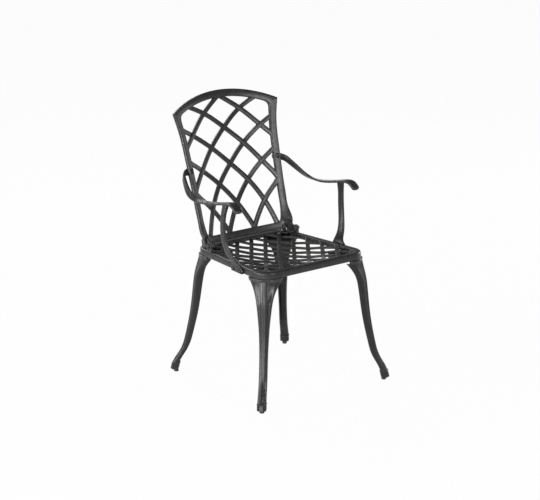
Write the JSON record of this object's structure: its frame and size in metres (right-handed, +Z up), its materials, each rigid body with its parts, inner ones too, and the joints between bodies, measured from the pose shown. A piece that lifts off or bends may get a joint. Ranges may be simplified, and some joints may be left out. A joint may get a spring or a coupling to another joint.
{
  "type": "garden armchair",
  "caption": "Cast metal garden armchair with a dished lattice seat, an arched and curved lattice back, scrolled arms and splayed cabriole legs on screw-in glides.",
  "frame": {"origin": "on the floor, under the middle of the chair's bounding box", "axes": "+Z up, -Y towards the front of the chair, +X towards the sitter's left"},
  "size_m": [0.5438, 0.5822, 0.9138],
  "materials": {
    "castings": "satin",
    "fasteners": "satin",
    "glides": "matte",
    "inserts": "satin"
  },
  "bodies": {
    "chair": {"seat_panel": "castings", "back_panel": "castings", "arm_left": "castings", "arm_right": "castings", "leg_front_left": "castings", "leg_front_right": "castings", "leg_rear_left": "castings", "leg_rear_right": "castings", "glide_inserts": "inserts", "arm_back_bolts": "fasteners", "arm_back_washers": "fasteners", "arm_back_nuts": "fasteners", "back_front_bolts": "fasteners", "back_side_bolts": "fasteners", "back_side_washers": "fasteners", "back_side_nuts": "fasteners", "arm_seat_bolts": "fasteners", "arm_seat_nuts": "fasteners", "leg_bolts": "fasteners", "leg_washers": "fasteners"},
    "front_left_glide": {"glide_front_left": "glides"},
    "front_right_glide": {"glide_front_right": "glides"},
    "rear_left_glide": {"glide_rear_left": "glides"},
    "rear_right_glide": {"glide_rear_right": "glides"}
  },
  "joints": [
    {"name": "front_left_level", "type": "slide", "parent": "chair", "child": "front_left_glide", "axis": [0, 0, -1], "range_m": [0, 0.01]},
    {"name": "front_right_level", "type": "slide", "parent": "chair", "child": "front_right_glide", "axis": [0, 0, -1], "range_m": [0, 0.01]},
    {"name": "rear_left_level", "type": "slide", "parent": "chair", "child": "rear_left_glide", "axis": [0, 0, -1], "range_m": [0, 0.01]},
    {"name": "rear_right_level", "type": "slide", "parent": "chair", "child": "rear_right_glide", "axis": [0, 0, -1], "range_m": [0, 0.01]}
  ]
}
